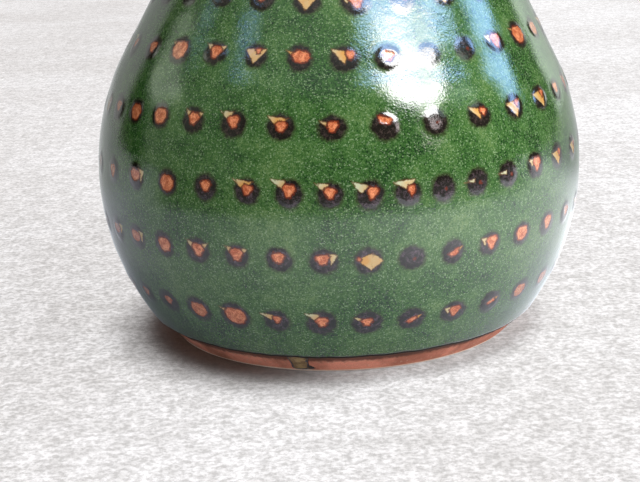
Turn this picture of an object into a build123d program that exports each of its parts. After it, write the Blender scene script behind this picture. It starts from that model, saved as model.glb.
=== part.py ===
from build123d import *

# A hand-thrown ceramic bud vase, modelled in the layers that the potter builds up.
#
# Millimetres, +Z up, origin on the table below the middle of the belly. The pot's axis leans towards +X.
# A red clay body carries a cream slip, then a green glaze that wraps over the lip, a liner glaze inside,
# one run of glaze on the bare foot, and rows of dark slip dabs, each dab a solid seated on the glaze.

import os
from math import asin, cos, degrees, pi, radians, sin, sqrt, tan

# Finished outside of the pot, over the glaze, measured along its own axis and square to it
BELLY_RADIUS = 44.0  # the belly is part of a ball
BELLY_HEIGHT = 30.0  # height of that ball's centre
SHOULDER_ANGLE = 28.4  # degrees that the straight shoulder leans in
NECK_RADIUS = 11.0
NECK_CURVE = 30.0  # radius of the hollow curve from the shoulder through the neck to the lip
FLARE_ANGLE = 30.0  # degrees that the lip opens out
LEAN = 3.0  # degrees that the axis leans towards +X

# Clay, slip and glaze
WALL = 3.2
FLOOR = 6.0  # height of the floor inside, along the axis
SLIP = 0.25
GLAZE = 0.5
LINER = 0.4

# Foot
FOOT_RING = 6.0  # width of the ring that the pot stands on
FOOT_RECESS = 2.0
FOOT_BEVEL = 0.7
GLAZE_LINE = 3.8  # height above the table at which the green glaze stops
SLIP_MARGIN = 1.0  # how far the slip stops above the glaze line

# Dabs of dark slip
DAB_RADIUS = 2.6
DAB_RISE = 0.3
DAB_SIDES = 8
DAB_TAPER = 45.0
DAB_CLEARANCE = 0.02
DAB_SPACING = 7.4  # from centre to centre round a row
ROW_HEIGHTS = (12.0, 23.3, 34.0, 44.3, 54.3, 62.8, 72.4, 82.4)
ROW_TURNS = (0.6, 0.54, 0.38, 0.91, 0.9, 0.22, 0.9, 0.3)  # each row's turn, in parts of its spacing
ROW_CROWDING = (0.0, 1.4, 5.6, -3.0, 2.5, 0.0, 0.0, 0.0)  # degrees that dabs drift towards the crowded side
CROWDED_SIDE = -76.5  # degrees round from +X; the side opposite to it is as crowded
ROW_WAVER = 0.6  # how far a row that was set out by eye wanders up and down
ROW_WAVES = 3  # times that it does so round the pot

# The run of glaze below the glaze line
RUN_WIDTH = 3.4
RUN_REACH = 3.0
RUN_THICKNESS = 0.5
RUN_ANGLE = -104.0  # degrees round from +X

RUN_SEAT = 0.4  # how far below the clay's surface the run starts, before the clay trims it to fit

# Layers, as offsets from the finished outside
UNDER_GLAZE = -GLAZE
CLAY_OUTSIDE = UNDER_GLAZE - SLIP
CLAY_INSIDE = CLAY_OUTSIDE - WALL
LINER_INSIDE = CLAY_INSIDE - LINER

# The pot's own axis, and the plane that its profile is drawn in: local X is the radius, local Y the height
lean = radians(LEAN)
axis_foot = Vector(-BELLY_HEIGHT * sin(lean), 0, 0)
pot_plane = Plane(origin=axis_foot, x_dir=(cos(lean), 0, -sin(lean)), z_dir=(0, -1, 0))
pot_axis = Axis(axis_foot, (sin(lean), 0, cos(lean)))

# Places on the profile that follow from the driving dimensions
slope = radians(SHOULDER_ANGLE)
flare = radians(FLARE_ANGLE)
belly_centre = Vector(0, BELLY_HEIGHT)
shoulder = belly_centre + Vector(cos(slope), sin(slope)) * BELLY_RADIUS
throat_radius = NECK_RADIUS + NECK_CURVE * (1 - cos(slope))
throat_height = shoulder.Y + (shoulder.X - throat_radius) / tan(slope)
neck_centre = Vector(NECK_RADIUS + NECK_CURVE, throat_height + NECK_CURVE * sin(slope))
below_table = -BELLY_RADIUS * sin(lean) - FOOT_BEVEL  # the outline starts here and is then cut off level


def side(offset, start):
    """Add the outline from height start up to the lip, moved outwards by offset."""
    belly = BELLY_RADIUS + offset
    sweep = degrees(asin((BELLY_HEIGHT - start) / belly))
    ball = CenterArc(belly_centre, belly, -sweep, sweep + SHOULDER_ANGLE)
    bend = CenterArc(neck_centre, NECK_CURVE - offset, 180 + SHOULDER_ANGLE, -SHOULDER_ANGLE - FLARE_ANGLE)
    Line(ball @ 1, bend @ 0)


def side_foot(offset, start):
    """The lower end of side(offset, start)."""
    return Vector(sqrt((BELLY_RADIUS + offset) ** 2 - (BELLY_HEIGHT - start) ** 2), start)


def side_top(offset):
    """The upper end of side(offset, ...)."""
    return neck_centre + Vector(-cos(flare), sin(flare)) * (NECK_CURVE - offset)


def lip_point(outer, inner, turn):
    """A point of the half-round lip between two offsets, turn degrees round from the outer one."""
    across = (side_top(outer) - side_top(inner)) / 2
    upwards = Vector(sin(flare), cos(flare)) * across.length
    return side_top((outer + inner) / 2) + across * cos(radians(turn)) + upwards * sin(radians(turn))


def wall_section(along):
    """The outside radius at a height along the axis, and how far the surface there faces upwards."""
    if along < shoulder.Y:
        tilt = asin((along - BELLY_HEIGHT) / BELLY_RADIUS)
        return BELLY_RADIUS * cos(tilt), tilt
    if along < throat_height:
        return shoulder.X - (along - shoulder.Y) * tan(slope), slope
    tilt = asin((neck_centre.Y - along) / NECK_CURVE)
    return neck_centre.X - NECK_CURVE * cos(tilt), tilt


def wall_plane(height, turn):
    """The plane that touches the outside at a height above the table, with its Z axis pointing out."""
    along = height
    for _ in range(4):  # the lean makes the height along the axis depend on the radius, which settles fast
        radius, tilt = wall_section(along)
        along = (height + radius * cos(turn) * sin(lean)) / cos(lean)
    radial = pot_plane.x_dir * cos(turn) + Vector(0, 1, 0) * sin(turn)
    around = Vector(0, 1, 0) * cos(turn) - pot_plane.x_dir * sin(turn)
    outwards = radial * cos(tilt) + pot_axis.direction * sin(tilt)
    origin = axis_foot + pot_axis.direction * along + radial * radius
    return Plane(origin=origin, x_dir=around, z_dir=outwards)


def dab_plane(row_height, even_turn, crowding):
    """The plane that a dab stands on, after its drift along the row and the row's waver."""
    from_crowd = even_turn - radians(CROWDED_SIDE)
    turn = even_turn - radians(crowding) * sin(2 * from_crowd)
    return wall_plane(row_height - ROW_WAVER * cos(ROW_WAVES * from_crowd), turn)


os.makedirs("parts", exist_ok=True)

# The clay's lip, bevelled with the sponge
clay_lip = [lip_point(CLAY_OUTSIDE, CLAY_INSIDE, turn) for turn in (0, 50, 130, 180)]

# The thrown and turned clay: wall, floor, rounded lip, and a level foot with a bevel and a turned recess
with BuildPart() as clay_body:
    with BuildSketch(pot_plane):
        with BuildLine():
            side(CLAY_OUTSIDE, below_table)
            Polyline(clay_lip)
            side(CLAY_INSIDE, FLOOR)
            floor_edge = side_foot(CLAY_INSIDE, FLOOR)
            Polyline(floor_edge, (0, FLOOR), (0, below_table), side_foot(CLAY_OUTSIDE, below_table))
        make_face()
    revolve(axis=pot_axis)
    split(bisect_by=Plane.XY, keep=Keep.TOP)
    chamfer(clay_body.edges().group_by(Axis.Z)[0], FOOT_BEVEL)
    foot = clay_body.faces().sort_by(Axis.Z)[0].bounding_box()
    with BuildSketch(Plane.XY) as recess:
        with Locations(foot.center()):
            Circle(foot.size.Y / 2 - FOOT_RING)
    extrude(amount=FOOT_RECESS, mode=Mode.SUBTRACT)
clay_body.part.label = "clay_body"
export_step(clay_body.part, "parts/clay_body.step")

# Cream slip, brushed over the outside and stopped level above the foot
with BuildPart() as slip_coat:
    with BuildSketch(pot_plane):
        with BuildLine():
            side(UNDER_GLAZE, below_table)
            Line(side_top(UNDER_GLAZE), side_top(CLAY_OUTSIDE))
            side(CLAY_OUTSIDE, below_table)
            Line(side_foot(CLAY_OUTSIDE, below_table), side_foot(UNDER_GLAZE, below_table))
        make_face()
    revolve(axis=pot_axis)
    split(bisect_by=Plane.XY.offset(GLAZE_LINE + SLIP_MARGIN), keep=Keep.TOP)
slip_coat.part.label = "slip_coat"
export_step(slip_coat.part, "parts/slip_coat.step")

# Green glaze over the slip, closing over the slip's lower edge and wrapping over the lip
with BuildPart() as outer_glaze:
    with BuildSketch(pot_plane):
        with BuildLine():
            side(0, below_table)
            ThreePointArc(*[lip_point(0, LINER_INSIDE, turn) for turn in (0, 90, 180)])
            Line(side_top(LINER_INSIDE), side_top(CLAY_INSIDE))
            Polyline(clay_lip)
            side(CLAY_OUTSIDE, below_table)
            Line(side_foot(CLAY_OUTSIDE, below_table), side_foot(0, below_table))
        make_face()
    revolve(axis=pot_axis)
    split(bisect_by=Plane.XY.offset(GLAZE_LINE), keep=Keep.TOP)
    add(slip_coat.part, mode=Mode.SUBTRACT)
outer_glaze.part.label = "outer_glaze"
export_step(outer_glaze.part, "parts/outer_glaze.step")

# Liner glaze, poured in and out, which meets the green glaze inside the lip
with BuildPart() as inner_glaze:
    with BuildSketch(pot_plane):
        with BuildLine():
            side(CLAY_INSIDE, FLOOR)
            Line(side_top(CLAY_INSIDE), side_top(LINER_INSIDE))
            side(LINER_INSIDE, FLOOR + LINER)
            Polyline(side_foot(LINER_INSIDE, FLOOR + LINER), (0, FLOOR + LINER), (0, FLOOR), floor_edge)
        make_face()
    revolve(axis=pot_axis)
inner_glaze.part.label = "inner_glaze"
export_step(inner_glaze.part, "parts/inner_glaze.step")

# One run of glaze that crept down the bare foot
with BuildPart() as glaze_run:
    run_plane = wall_plane(GLAZE_LINE, radians(RUN_ANGLE))
    with BuildSketch(run_plane.offset(CLAY_OUTSIDE - RUN_SEAT)):
        with Locations((0, -RUN_REACH / 2)):
            SlotOverall(RUN_REACH + RUN_WIDTH, RUN_WIDTH, rotation=90)
    extrude(amount=RUN_SEAT + RUN_THICKNESS)
    add(clay_body.part, mode=Mode.SUBTRACT)
    split(bisect_by=Plane.XY.offset(GLAZE_LINE), keep=Keep.BOTTOM)
glaze_run.part.label = "glaze_run"
export_step(glaze_run.part, "parts/glaze_run.step")

# One dab of dark slip, resting on the XY plane
with BuildPart() as dab:
    with BuildSketch(Plane.XY.offset(DAB_CLEARANCE)):
        RegularPolygon(DAB_RADIUS, DAB_SIDES)
    extrude(amount=DAB_RISE, taper=DAB_TAPER)

# Rows of dabs, nearly level with the table, each dab standing on the glaze
for row, (height, row_turn, crowding) in enumerate(zip(ROW_HEIGHTS, ROW_TURNS, ROW_CROWDING)):
    radius, _ = wall_section(height)
    count = round(2 * pi * radius / DAB_SPACING)
    turns = [2 * pi * (place + row_turn) / count - pi / 2 for place in range(count)]
    with BuildPart() as dab_row:
        with Locations(*[dab_plane(height, turn, crowding).location for turn in turns]):
            add(dab.part)
    dab_row.part.label = f"dab_row_{row + 1}"
    export_step(dab_row.part, f"parts/dab_row_{row + 1}.step")
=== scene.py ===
# %% [markdown]
# # A green-glazed bud vase, built up as a potter builds it
#
# The pot is small enough to close a hand around: a ball of red clay thrown on the wheel, drawn in to a
# narrow neck, dipped in cream slip and dotted with dark slip, then glazed in copper green. It leans a
# little, as pots do that were lifted off the wheel while wet. Each step below makes one physical piece,
# says what that piece is on the real pot, and builds it so that light treats it as it would treat the real
# thing.

from math import asin, cos, pi, radians, sin, sqrt, tan

import bpy
import numpy as np
from mathutils import Matrix, Vector


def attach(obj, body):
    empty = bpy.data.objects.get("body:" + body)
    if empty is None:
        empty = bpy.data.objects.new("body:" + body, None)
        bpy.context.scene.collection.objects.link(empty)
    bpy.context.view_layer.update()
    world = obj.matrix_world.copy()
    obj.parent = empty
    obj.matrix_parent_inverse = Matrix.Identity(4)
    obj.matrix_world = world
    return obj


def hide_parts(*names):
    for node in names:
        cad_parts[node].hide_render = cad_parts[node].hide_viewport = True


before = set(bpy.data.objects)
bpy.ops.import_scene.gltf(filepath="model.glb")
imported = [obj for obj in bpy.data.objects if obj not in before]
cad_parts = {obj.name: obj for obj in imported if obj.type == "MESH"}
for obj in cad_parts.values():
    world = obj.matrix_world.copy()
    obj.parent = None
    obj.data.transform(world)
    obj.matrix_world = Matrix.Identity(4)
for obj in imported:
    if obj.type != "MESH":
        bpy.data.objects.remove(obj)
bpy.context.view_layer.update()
print("CAD nodes:", sorted(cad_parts))

# %% [markdown]
# ## The wall of the pot
#
# One line describes the whole outside: a ball, a straight shoulder, and a hollow curve that turns through
# the neck and out to the lip. Walking up that line by its own length, rather than by height, keeps the
# steps even where the wall runs flat. The pot's axis leans, but the foot was cut level and the glaze line
# follows the foot, so rings near the foot stay level and tip over gradually by the time that they reach the
# belly.

# %% Dimensions of the wall, in millimetres
BELLY, BELLY_AT, NECK, NECK_CURVE = 44.0, 30.0, 11.0, 30.0
SLOPE, FLARE, LEAN = radians(28.4), radians(30.0), radians(3.0)
CLAY_OUT, CLAY_IN, LINER_IN = -0.75, -3.95, -4.35
FLOOR_AT, GLAZE_LINE, FOOT_RING, RECESS, BEVEL = 6.0, 3.8, 6.0, 2.0, 0.7

shoulder_r, shoulder_at = BELLY * cos(SLOPE), BELLY_AT + BELLY * sin(SLOPE)
throat_r = NECK + NECK_CURVE * (1 - cos(SLOPE))
throat_at = shoulder_at + (shoulder_r - throat_r) / tan(SLOPE)
neck_r, neck_at = NECK + NECK_CURVE, throat_at + NECK_CURVE * sin(SLOPE)
CONE_START = BELLY * SLOPE
CONE_END = CONE_START + (shoulder_r - throat_r) / sin(SLOPE)
LIP = CONE_END + NECK_CURVE * (SLOPE + FLARE)
ball_z = BELLY_AT * cos(LEAN)  # height of the ball's centre above the table


def profile(s, offset):
    """Radius, height along the axis and tilt of the wall, s mm up the outside from the widest ring."""
    s = np.asarray(s, float)
    curve = SLOPE - (s - CONE_END) / NECK_CURVE
    tilt = np.where(s < CONE_START, s / BELLY, np.where(s < CONE_END, SLOPE, curve))
    down = np.clip(s, CONE_START, CONE_END) - CONE_START
    ball = BELLY * np.cos(tilt) - np.sin(SLOPE) * down
    radius = np.where(s < CONE_END, ball, neck_r - NECK_CURVE * np.cos(tilt))
    below = BELLY_AT + BELLY * np.sin(tilt) + np.cos(SLOPE) * down
    height = np.where(s < CONE_END, below, neck_at - NECK_CURVE * np.sin(tilt))
    return radius + offset * np.cos(tilt), height + offset * np.sin(tilt), tilt


def place(radius, height, turn, share=1.0):
    """Points of the leaning pot; where share is under 1 the ring leans by only that part of the angle."""
    lean = LEAN * np.asarray(share, float)
    x, z = radius * np.cos(turn), height - BELLY_AT
    across, up = x * np.cos(lean) + z * np.sin(lean), z * np.cos(lean) - x * np.sin(lean)
    return np.stack([across, radius * np.sin(turn), ball_z + up], -1)


def ease(t):
    """A ramp from 0 to 1 made gentle at both ends."""
    return t * t * (3 - 2 * t)


EVEN_IN = 0.08  # mm; keeps the uneven wall inside the built one everywhere


def unevenness(points):
    """How far the thrown wall stays inside its ideal shape: fingertip rings and slow waves, in mm."""
    x, y, z = np.moveaxis(points, -1, 0)
    rings = 0.022 * np.sin(2 * pi * z / 10.5 + np.arctan2(y, x)) + 0.012 * np.sin(2 * pi * z / 6.1 + 2.0)
    waves = 0.030 * np.sin(x / 7.1 + z / 9.7) * np.sin(y / 8.3 - z / 12.0) + 0.015 * np.sin(x / 4.3 - y / 3.7)
    return rings + waves - EVEN_IN


def wall(s, turn, offset=0.0, share=1.0):
    """Points of the uneven outside or of a layer at an offset from it."""
    radius, height, tilt = profile(s, offset)
    ideal = place(radius, height, turn, share)
    deeper = unevenness(ideal) * (np.asarray(offset) > CLAY_IN / 2)
    return place(radius + deeper * np.cos(tilt), height + deeper * np.sin(tilt), turn, share)


def level_s(height, turn, offset=0.0):
    """How far up the wall a level line at a height above the table runs, on the ball."""
    return BELLY * np.arcsin((height - ball_z) / (BELLY + offset)) + 0 * turn


LEAN_FROM, LEAN_TO = -24.0, -4.0  # mm up the wall from the widest ring


def leaning(s):
    """Share of the lean that a ring has: none at the foot, all of it from the widest ring up."""
    return ease(np.clip((s - LEAN_FROM) / (LEAN_TO - LEAN_FROM), 0, 1))


print("wall from foot to lip in mm:", round(LIP + BELLY * asin(ball_z / BELLY), 1))

# %% [markdown]
# ## From points to closed skins
#
# A layer of glaze or clay is a thin solid, not a sheet. Its grid is walked up the outside, over the edge
# and back down the inside, so that the piece closes on itself as the real layer does. Only the dots are
# open patches: they lie on the glaze, and nothing can see under them.


# %% Helpers that turn grids of points into meshes
def mesh_piece(name, verts, faces, material, sharp=40):
    """A smooth-shaded mesh object from points in mm, with edges kept crisp above an angle."""
    mesh = bpy.data.meshes.new(name)
    mesh.from_pydata((np.asarray(verts) * 0.001).tolist(), [], faces)
    mesh.polygons.foreach_set("use_smooth", [True] * len(mesh.polygons))
    mesh.set_sharp_from_angle(angle=radians(sharp))
    mesh.materials.append(material)
    mesh.update()
    piece = bpy.data.objects.new(name, mesh)
    bpy.context.scene.collection.objects.link(piece)
    return piece


def ring_faces(rows, cols, loop):
    """Quads between closed rings of points; with loop the last ring joins the first."""
    i, j = np.meshgrid(np.arange(rows if loop else rows - 1), np.arange(cols), indexing="ij")
    k, m = (i + 1) % rows, (j + 1) % cols
    return np.stack([i * cols + j, i * cols + m, k * cols + m, k * cols + j], -1).reshape(-1, 4).tolist()


def store(piece, name, values):
    """Keep one number or one vector for each point of a piece, for its material to read."""
    values = np.asarray(values, np.float32)
    kind, key = ("FLOAT", "value") if values.ndim == 1 else ("FLOAT_VECTOR", "vector")
    piece.data.attributes.new(name, kind, "POINT").data.foreach_set(key, values.ravel())


# %% [markdown]
# ## Materials as reusable effects
#
# Fired glaze is coloured glass over clay. Three effects make most of it: the mottled copper green with its
# fine light flecks, which are painted glints, the soft dimpling of the glassy surface, and the grain of bare
# fired clay. Each is a node group with its own sliders, so that it can be reused on another pot.


# %% Small helpers for building shader node groups
PER_MM = 1000  # Blender's textures count in metres


class Graph:
    """Adds nodes to a tree with few words, and links them."""

    def __init__(self, tree):
        self.tree = tree

    def node(self, kind, **settings):
        made = self.tree.nodes.new(kind)
        for key, value in settings.items():
            setattr(made, key, value)
        return made

    def feed(self, socket, value):
        """Link another node's output to a socket, or set it to a plain value."""
        if isinstance(value, bpy.types.NodeSocket):
            self.tree.links.new(value, socket)
        else:
            socket.default_value = value

    def math(self, operation, *values, clamp=False):
        made = self.node("ShaderNodeMath", operation=operation, use_clamp=clamp)
        for socket, value in zip(made.inputs, values):
            self.feed(socket, value)
        return made.outputs[0]

    def step(self, value, start, end, low=0.0, high=1.0):
        """A smooth change from low to high while value goes from start to end."""
        made = self.node("ShaderNodeMapRange", interpolation_type="SMOOTHSTEP")
        ends = {"Value": value, "From Min": start, "From Max": end, "To Min": low, "To Max": high}
        for key, item in ends.items():
            self.feed(made.inputs[key], item)
        return made.outputs["Result"]

    def fray(self, value, noise, amount):
        """Wavers a value by noise that is even about a half, so that the edges made from it fray."""
        return self.math("MULTIPLY_ADD", self.math("SUBTRACT", noise, 0.5), amount, value)

    def mix(self, factor, first, second, blend="MIX"):
        made = self.node("ShaderNodeMix", data_type="RGBA", blend_type=blend)
        for place_in_node, item in ((0, factor), (6, first), (7, second)):  # where its colour sockets are
            self.feed(made.inputs[place_in_node], item)
        return made.outputs[2]

    def times(self, first, second):
        """One colour multiplied by another, as a tint over a paint."""
        return self.mix(1.0, first, second, "MULTIPLY")

    def position(self):
        return self.node("ShaderNodeNewGeometry").outputs["Position"]

    def split(self, vector):
        """The x, y and z of a position or a direction."""
        made = self.node("ShaderNodeSeparateXYZ")
        self.feed(made.inputs[0], vector)
        return made.outputs

    def stored(self, name, output="Fac"):
        """What a mesh keeps for each of its points under this name."""
        return self.node("ShaderNodeAttribute", attribute_name=name).outputs[output]

    def noise(self, where, scale, detail=2.0, rough=0.5, shift=0.0):
        """Cloudy noise in 0..1 with scale in features per millimetre."""
        moved = self.node("ShaderNodeVectorMath", operation="ADD")
        self.feed(moved.inputs[0], where)
        moved.inputs[1].default_value = (shift, shift * 0.7, -shift)
        made = self.node("ShaderNodeTexNoise")
        self.feed(made.inputs["Vector"], moved.outputs[0])
        made.inputs["Scale"].default_value = scale * PER_MM
        made.inputs["Detail"].default_value = detail
        made.inputs["Roughness"].default_value = rough
        return made.outputs[0]

    def cells(self, where, scale):
        """Distance to scattered points, and a random colour for each, with scale in points per millimetre."""
        made = self.node("ShaderNodeTexVoronoi", feature="F1")
        self.feed(made.inputs["Vector"], where)
        made.inputs["Scale"].default_value = scale * PER_MM
        return made.outputs["Distance"], made.outputs["Color"]

    def bump(self, height, depth, over=None):
        """A normal bent by a height in 0..1, depth metres deep, over another normal if one is given."""
        made = self.node("ShaderNodeBump")
        made.inputs["Strength"].default_value = 1.0
        made.inputs["Distance"].default_value = depth
        self.feed(made.inputs["Height"], height)
        if over is not None:
            self.feed(made.inputs["Normal"], over)
        return made.outputs[0]


def group(name, inputs, outputs):
    """An empty node group with named sliders, as (group, graph, inside inputs, inside outputs)."""
    tree = bpy.data.node_groups.new(name, "ShaderNodeTree")
    for title, kind, default in inputs:
        tree.interface.new_socket(title, in_out="INPUT", socket_type=kind).default_value = default
    for title, kind in outputs:
        tree.interface.new_socket(title, in_out="OUTPUT", socket_type=kind)
    graph = Graph(tree)
    return tree, graph, graph.node("NodeGroupInput").outputs, graph.node("NodeGroupOutput").inputs


def use(graph, tree, **values):
    """Place a node group in a material and set or link its inputs."""
    made = graph.node("ShaderNodeGroup", node_tree=tree)
    for key, value in values.items():
        graph.feed(made.inputs[key], value)
    return made.outputs


COLOR, FLOAT, VECTOR = "NodeSocketColor", "NodeSocketFloat", "NodeSocketVector"

# %% The copper green with its mottling and its painted glints
GLINTS_PER_MM, GLINT_REACH, GLINT_SHOWS = 4.2, 0.62, 0.76
GRAIN_SHOWS = 1.25
green, g, given, out = group(
    "copper_green",
    [
        ("Deep", COLOR, (0.008, 0.036, 0.009, 1)),
        ("Middle", COLOR, (0.042, 0.125, 0.026, 1)),
        ("Pale", COLOR, (0.125, 0.215, 0.070, 1)),
        ("Fleck", COLOR, (0.26, 0.37, 0.20, 1)),
        ("Flecks", FLOAT, 1.0),
    ],
    [("Color", COLOR)],
)
place_m = g.position()
clouds = g.noise(place_m, 0.085, 3.0, 0.6, 0.3)
drifts = g.noise(place_m, 0.32, 4.0, 0.65, 0.1)
grain = g.noise(place_m, 3.0, 4.0, 0.8, 0.2)
mottling = g.math("MULTIPLY_ADD", clouds, 0.55, g.math("MULTIPLY", drifts, 0.45))
tone = g.fray(mottling, grain, GRAIN_SHOWS)
base = g.mix(g.step(tone, 0.30, 0.53), given["Deep"], given["Middle"])
base = g.mix(g.step(tone, 0.50, 0.74), base, given["Pale"])
# Painted glints: small pale flecks in the colour stand in for the glints where the dimpled glaze catches the
# light.
near, tint = g.cells(place_m, GLINTS_PER_MM)
picked = g.node("ShaderNodeSeparateColor")
g.feed(picked.inputs[0], tint)
reach = g.math("MULTIPLY", picked.outputs[0], GLINT_REACH)
painted_glint = g.step(g.math("SUBTRACT", reach, near), -0.06, 0.10)
painted_glint = g.math("MULTIPLY", painted_glint, g.step(picked.outputs[1], 0.05, 0.95))
painted_glint = g.math("MULTIPLY", painted_glint, given["Flecks"], clamp=True)
g.feed(out["Color"], g.mix(g.math("MULTIPLY", painted_glint, GLINT_SHOWS), base, given["Fleck"]))
print("effect:", green.name, "with", len(green.nodes), "nodes")

# %% The soft dimpling of a fired glaze surface
RIPPLE_DEEP, PEEL_DEEP, PEBBLE_DEEP = 0.00005, 0.000016, 0.000019
dimples, g, given, out = group(
    "glassy_dimples",
    [("Ripple", FLOAT, 1.0), ("Peel", FLOAT, 1.0), ("Pebble", FLOAT, 1.0)],
    [("Normal", VECTOR)],
)
place_m = g.position()
ripple = g.math("MULTIPLY", g.noise(place_m, 0.16, 2.0, 0.5, 0.5), given["Ripple"])
peel = g.math("MULTIPLY", g.noise(place_m, 0.9, 2.0, 0.5, 0.9), given["Peel"])
pebble = g.math("MULTIPLY", g.noise(place_m, 3.1, 2.0, 0.6, 0.4), given["Pebble"])
rippled = g.bump(ripple, RIPPLE_DEEP)
peeled = g.bump(peel, PEEL_DEEP, rippled)
g.feed(out["Normal"], g.bump(pebble, PEBBLE_DEEP, peeled))
print("effect:", dimples.name, "with", len(dimples.nodes), "nodes")

# %% The grain of bare fired clay
GRAIN_DEEP = 0.00010
bare, g, given, out = group(
    "fired_clay",
    [
        ("Clay", COLOR, (0.90, 0.350, 0.240, 1)),
        ("Scorch", COLOR, (0.44, 0.150, 0.090, 1)),
        ("Grit", COLOR, (0.70, 0.52, 0.38, 1)),
        ("Roughness", FLOAT, 1.0),
    ],
    [("Color", COLOR), ("Normal", VECTOR)],
)
place_m = g.position()
blotch = g.noise(place_m, 0.12, 4.0, 0.6, 0.4)
grain = g.noise(place_m, 1.6, 5.0, 0.7, 0.6)
dust = g.noise(place_m, 5.0, 2.0, 0.6, 0.1)
near, _ = g.cells(place_m, 0.9)
worn = g.mix(g.step(blotch, 0.62, 0.36), given["Clay"], given["Scorch"])
worn = g.mix(g.math("MULTIPLY", g.step(grain, 0.52, 0.72), 0.35), worn, given["Grit"])
worn = g.mix(g.math("MULTIPLY", g.step(dust, 0.60, 0.42), 0.25), worn, given["Scorch"])
worn = g.mix(g.math("MULTIPLY", g.step(near, 0.16, 0.08), 0.5), worn, given["Grit"])
height = g.math("MULTIPLY_ADD", grain, 0.6, g.math("MULTIPLY", dust, 0.4))
g.feed(out["Color"], worn)
g.feed(out["Normal"], g.bump(g.math("MULTIPLY", height, given["Roughness"]), GRAIN_DEEP))
print("effect:", bare.name, "with", len(bare.nodes), "nodes")


# %% [markdown]
# ## Finishes for each layer
#
# A glaze gets a smooth, glassy Principled surface over its colour. Real glaze could be a clear volume over
# clay, but a volume is slow and noisy, so the way that colour deepens at a slant is painted in instead. The
# dots use the same green and the same dimples outside their own outline, so that the dark slip seems to lie
# inside one continuous coat of glaze.


# %% Helpers for the finishes
GLAZE_IOR = 1.60
ACROSS_GLAZE = (0.12, 0.20, 0.14, 1)  # what is left of each colour where light crosses the glaze at a slant


def finish_named(name):
    """A new material, as (material, graph, its Principled node)."""
    made = bpy.data.materials.new(name)
    made.use_nodes = True
    return made, Graph(made.node_tree), made.node_tree.nodes["Principled BSDF"]


def through_glaze(graph, colour):
    """Darkens a colour where the glaze is looked through at a slant, since light then crosses more of it."""
    slant = graph.node("ShaderNodeLayerWeight")
    slant.inputs["Blend"].default_value = 0.5
    share = graph.step(slant.outputs["Facing"], 0.25, 0.85, 0.0, 0.62)
    return graph.mix(share, colour, graph.times(colour, ACROSS_GLAZE))


# %% The green glaze, dark where it gathers at its edge and brown where the lip thins it
GATHERED, THINNED = (0.022, 0.012, 0.008, 1), (0.17, 0.085, 0.030, 1)
glaze_finish, g, shader = finish_named("green_glaze")
place_m = g.position()
edge = g.fray(g.stored("edge"), g.noise(place_m, 0.9, 3.0, 0.6, 0.7), 0.9)
thin = g.fray(g.stored("thin"), g.noise(place_m, 0.5, 4.0, 0.6, 0.2), 0.8)
coat = g.mix(g.step(edge, 0.70, 0.12), use(g, green)["Color"], GATHERED)
coat = g.mix(g.step(thin, 0.62, 1.05), coat, THINNED)
g.feed(shader.inputs["Base Color"], through_glaze(g, coat))
g.feed(shader.inputs["Normal"], use(g, dimples)["Normal"])
g.feed(shader.inputs["Roughness"], g.step(edge, 0.75, 0.30, 0.04, 0.50))
g.feed(shader.inputs["Specular IOR Level"], g.step(edge, 0.75, 0.30, 0.50, 0.12))
shader.inputs["IOR"].default_value = GLAZE_IOR
print("finish:", glaze_finish.name)

# %% The slip dots: a dark disc with a halo, a cream horn and a spot of clay
# The mesh keeps, in mm, how far each point is outside the disc, the horn and the clay spot.
SLIP, SLIP_HALO = (0.010, 0.008, 0.006, 1), (0.030, 0.026, 0.012, 1)
SPECK_LOW, SPECK_HIGH = (0.135, 0.092, 0.125, 1), (0.066, 0.044, 0.040, 1)
CREAM, GOLD = (0.58, 0.60, 0.40, 1), (0.66, 0.34, 0.09, 1)
HORN_EDGE, HORN_EDGE_PALE = (0.10, 0.035, 0.012, 1), (0.26, 0.13, 0.04, 1)
RUST, RUST_PALE = (0.10, 0.014, 0.008, 1), (0.24, 0.055, 0.022, 1)
ORANGE, ORANGE_PALE = (0.46, 0.090, 0.030, 1), (0.92, 0.36, 0.17, 1)
dot_finish, g, shader = finish_named("dark_slip_dots")
place_m = g.position()
to_disc, to_horn, to_spot = g.split(g.stored("marks", "Vector"))
coarse = g.math("SUBTRACT", g.noise(place_m, 1.3, 3.0, 0.65, 0.3), 0.5)
fine = g.math("SUBTRACT", g.noise(place_m, 4.6, 3.0, 0.75, 0.8), 0.5)
both = g.math("MULTIPLY_ADD", fine, 0.8, coarse)
disc = g.math("ADD", both, to_disc)
horn = g.math("MULTIPLY_ADD", both, 0.55, to_horn)
spot = g.math("MULTIPLY_ADD", both, 0.85, to_spot)
height_m = g.split(place_m)[2]
speck = g.mix(g.step(height_m, 0.028, 0.040), SPECK_LOW, SPECK_HIGH)
dark = g.mix(g.step(both, -0.06, 0.30), SLIP, speck)
halo = g.mix(g.math("MULTIPLY", g.step(disc, 0.70, 0.05), 0.65), use(g, green)["Color"], SLIP_HALO)
cream = g.mix(g.math("MULTIPLY_ADD", both, 0.6, g.stored("gold"), clamp=True), CREAM, GOLD)
brown = g.mix(g.step(fine, -0.1, 0.2), HORN_EDGE, HORN_EDGE_PALE)
rust = g.mix(g.step(fine, -0.05, 0.2), RUST, RUST_PALE)
orange = g.mix(g.step(both, -0.20, 0.24), ORANGE, ORANGE_PALE)
color = g.mix(g.step(disc, 0.22, -0.20), halo, dark)
color = g.mix(g.math("MULTIPLY", g.step(horn, 0.24, 0.10), 0.6), color, brown)
color = g.mix(g.step(horn, 0.10, -0.08), color, cream)
color = g.mix(g.math("MULTIPLY", g.step(spot, 0.36, 0.20), 0.9), color, rust)
color = g.mix(g.step(spot, 0.07, -0.08), color, orange)
g.feed(shader.inputs["Base Color"], through_glaze(g, color))
g.feed(shader.inputs["Normal"], use(g, dimples)["Normal"])
shader.inputs["Roughness"].default_value = 0.07
shader.inputs["IOR"].default_value = GLAZE_IOR
print("finish:", dot_finish.name)

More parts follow.
